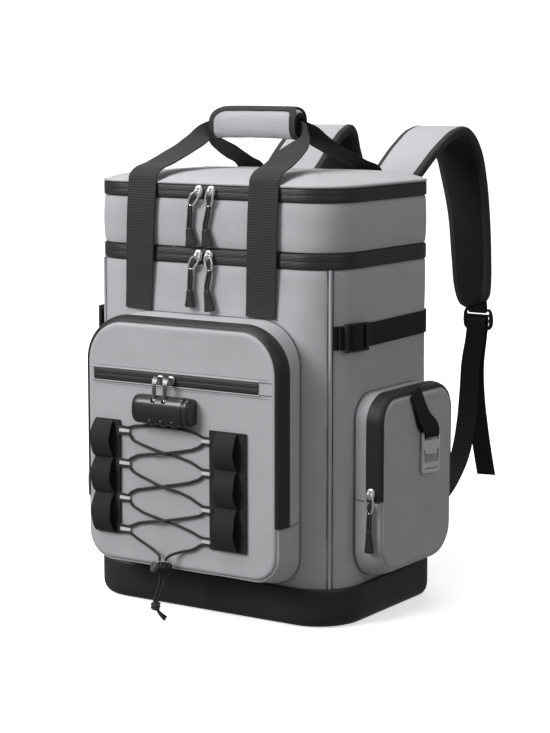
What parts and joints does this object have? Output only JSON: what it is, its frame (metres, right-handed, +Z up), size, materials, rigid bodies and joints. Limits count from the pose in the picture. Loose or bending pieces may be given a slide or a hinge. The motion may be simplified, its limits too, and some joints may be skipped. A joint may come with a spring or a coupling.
{
  "type": "insulated cooler backpack",
  "caption": "Upright two-compartment insulated backpack with a moulded base, padded grip and shoulder straps, zipped front and side pockets, laced cord and combination lock.",
  "frame": {"origin": "middle of the underside of the moulded base, on the floor", "axes": "+Z up; -Y towards the front pocket; +Y towards the back panel and shoulder straps; +X towards the side pocket"},
  "size_m": [0.3718, 0.5384, 0.5307],
  "materials": {
    "body_fabric": "woven polyester, matt",
    "zip_tape": "water-resistant zip tape, satin",
    "webbing": "woven webbing, matt",
    "padding": "padded woven cover with mesh lining, matt",
    "moulded_base": "moulded, satin",
    "buckle_plastic": "moulded, satin",
    "lock_plastic": "satin black",
    "zip_metal": "bright plated",
    "pull_rubber": "moulded, matt",
    "elastic_cord": "braided, matt",
    "opener_steel": "satin"
  },
  "bodies": {
    "pack": {"base_boot": "moulded_base", "main_shell": "body_fabric", "upper_shell": "body_fabric", "main_zip_band": "zip_tape", "lid_zip_band": "zip_tape", "lid_panel": "body_fabric", "piping_right": "body_fabric", "piping_left": "body_fabric", "handle_web_front": "webbing", "handle_web_back": "webbing", "handle_grip": "padding", "shoulder_pad_right": "padding", "shoulder_web_right": "webbing", "strap_adjuster_right": "buckle_plastic", "shoulder_pad_left": "padding", "shoulder_web_left": "webbing", "strap_adjuster_left": "buckle_plastic", "side_strap_right": "webbing", "side_buckle_right": "buckle_plastic", "side_strap_left": "webbing", "side_buckle_left": "buckle_plastic", "front_pocket": "body_fabric", "side_pocket": "body_fabric", "front_pocket_zip": "zip_tape", "side_pocket_zip": "zip_tape", "face_zip": "zip_tape", "lock_case": "lock_plastic", "slider_lid_left": "zip_metal", "slider_lid_right": "zip_metal", "slider_main_left": "zip_metal", "slider_main_right": "zip_metal", "slider_side": "zip_metal", "slider_front_pocket": "zip_metal", "slider_face_1": "zip_metal", "slider_face_2": "zip_metal", "gear_loops_left": "webbing", "gear_loops_right": "webbing", "bungee_cord": "elastic_cord", "cord_lock_barrel": "buckle_plastic", "cord_tail_left": "elastic_cord", "cord_tail_right": "elastic_cord", "cord_knot": "elastic_cord", "bottle_opener": "opener_steel", "opener_strap": "webbing"},
    "zip_pull_lid_left": {"pull_lid_left": "zip_metal", "pull_grip_lid_left": "pull_rubber"},
    "zip_pull_lid_right": {"pull_lid_right": "zip_metal", "pull_grip_lid_right": "pull_rubber"},
    "zip_pull_main_left": {"pull_main_left": "zip_metal", "pull_grip_main_left": "pull_rubber"},
    "zip_pull_main_right": {"pull_main_right": "zip_metal", "pull_grip_main_right": "pull_rubber"},
    "zip_pull_side": {"pull_side": "zip_metal", "pull_grip_side": "pull_rubber"},
    "dial_1": {"lock_dial_1": "lock_plastic"},
    "dial_2": {"lock_dial_2": "lock_plastic"},
    "dial_3": {"lock_dial_3": "lock_plastic"},
    "lock_slide": {"lock_button": "lock_plastic"},
    "cord_lock_plunger": {"cord_lock_button": "buckle_plastic"}
  },
  "joints": [
    {"name": "pull_lid_left_swing", "type": "hinge", "parent": "pack", "child": "zip_pull_lid_left", "pos_m": [-0.0075, -0.1072, 0.4476], "axis": [-1, 0, 0], "range_deg": [0, 120]},
    {"name": "pull_lid_right_swing", "type": "hinge", "parent": "pack", "child": "zip_pull_lid_right", "pos_m": [0.0082, -0.1072, 0.4476], "axis": [-1, 0, 0], "range_deg": [0, 120]},
    {"name": "pull_main_left_swing", "type": "hinge", "parent": "pack", "child": "zip_pull_main_left", "pos_m": [-0.0085, -0.1072, 0.3808], "axis": [-1, 0, 0], "range_deg": [0, 120]},
    {"name": "pull_main_right_swing", "type": "hinge", "parent": "pack", "child": "zip_pull_main_right", "pos_m": [0.005, -0.1072, 0.3808], "axis": [-1, 0, 0], "range_deg": [0, 120]},
    {"name": "pull_side_swing", "type": "hinge", "parent": "pack", "child": "zip_pull_side", "pos_m": [0.1815, -0.07308, 0.1426], "axis": [-1, 0, 0], "range_deg": [0, 120]},
    {"name": "dial_1_turn", "type": "hinge", "parent": "pack", "child": "dial_1", "pos_m": [-0.027, -0.1611, 0.2134], "axis": [1, 0, 0], "continuous": true},
    {"name": "dial_2_turn", "type": "hinge", "parent": "pack", "child": "dial_2", "pos_m": [-0.0128, -0.1611, 0.2134], "axis": [1, 0, 0], "continuous": true},
    {"name": "dial_3_turn", "type": "hinge", "parent": "pack", "child": "dial_3", "pos_m": [0.0014, -0.1611, 0.2134], "axis": [1, 0, 0], "continuous": true},
    {"name": "lock_button_slide", "type": "slide", "parent": "pack", "child": "lock_slide", "axis": [-1, 0, 0], "range_m": [0, 0.0017], "stiffness_N_per_m": 400},
    {"name": "cord_lock_press", "type": "slide", "parent": "pack", "child": "cord_lock_plunger", "axis": [0.4807, 0.8513, -0.2103], "range_m": [0, 0.0033], "stiffness_N_per_m": 300}
  ]
}
